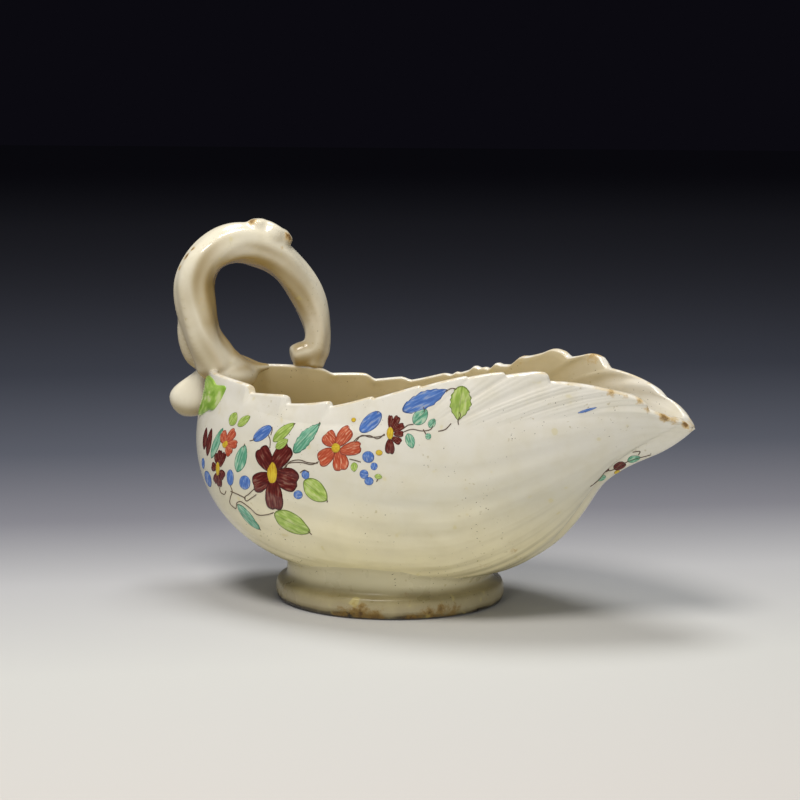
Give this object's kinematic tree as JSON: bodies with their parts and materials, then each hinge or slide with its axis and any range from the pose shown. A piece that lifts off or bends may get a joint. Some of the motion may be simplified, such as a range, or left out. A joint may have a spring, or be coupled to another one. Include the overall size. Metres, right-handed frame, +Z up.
{
  "type": "sauceboat",
  "caption": "Leaf-moulded glazed earthenware sauceboat with a notched rim, pouring spout, crabstock loop handle with a hanging flower bud, and an oval foot ring.",
  "frame": {"origin": "on the table, under the middle of the overall length and width", "axes": "+X toward the spout, +Y toward the side on which the handle's end is luted, +Z up"},
  "size_m": [0.2022, 0.0934, 0.1336],
  "materials": {
    "leaf_body": "cream body under a clear lead glaze, with overglaze enamel flowers",
    "foot": "cream body under a clear lead glaze, stained brown at the wear",
    "stalk": "cream body under a clear lead glaze",
    "bud": "cream body under a clear lead glaze",
    "sepal": "yellow-green overglaze enamel"
  },
  "bodies": {
    "root": {"leaf_near": "leaf_body", "leaf_far": "leaf_body", "foot_ring": "foot", "handle_stalk": "stalk", "bud_stem": "stalk", "flower_bud": "bud", "sepal_near": "sepal", "sepal_far": "sepal", "branch_knot": "stalk", "pruned_twig": "stalk"}
  },
  "joints": []
}
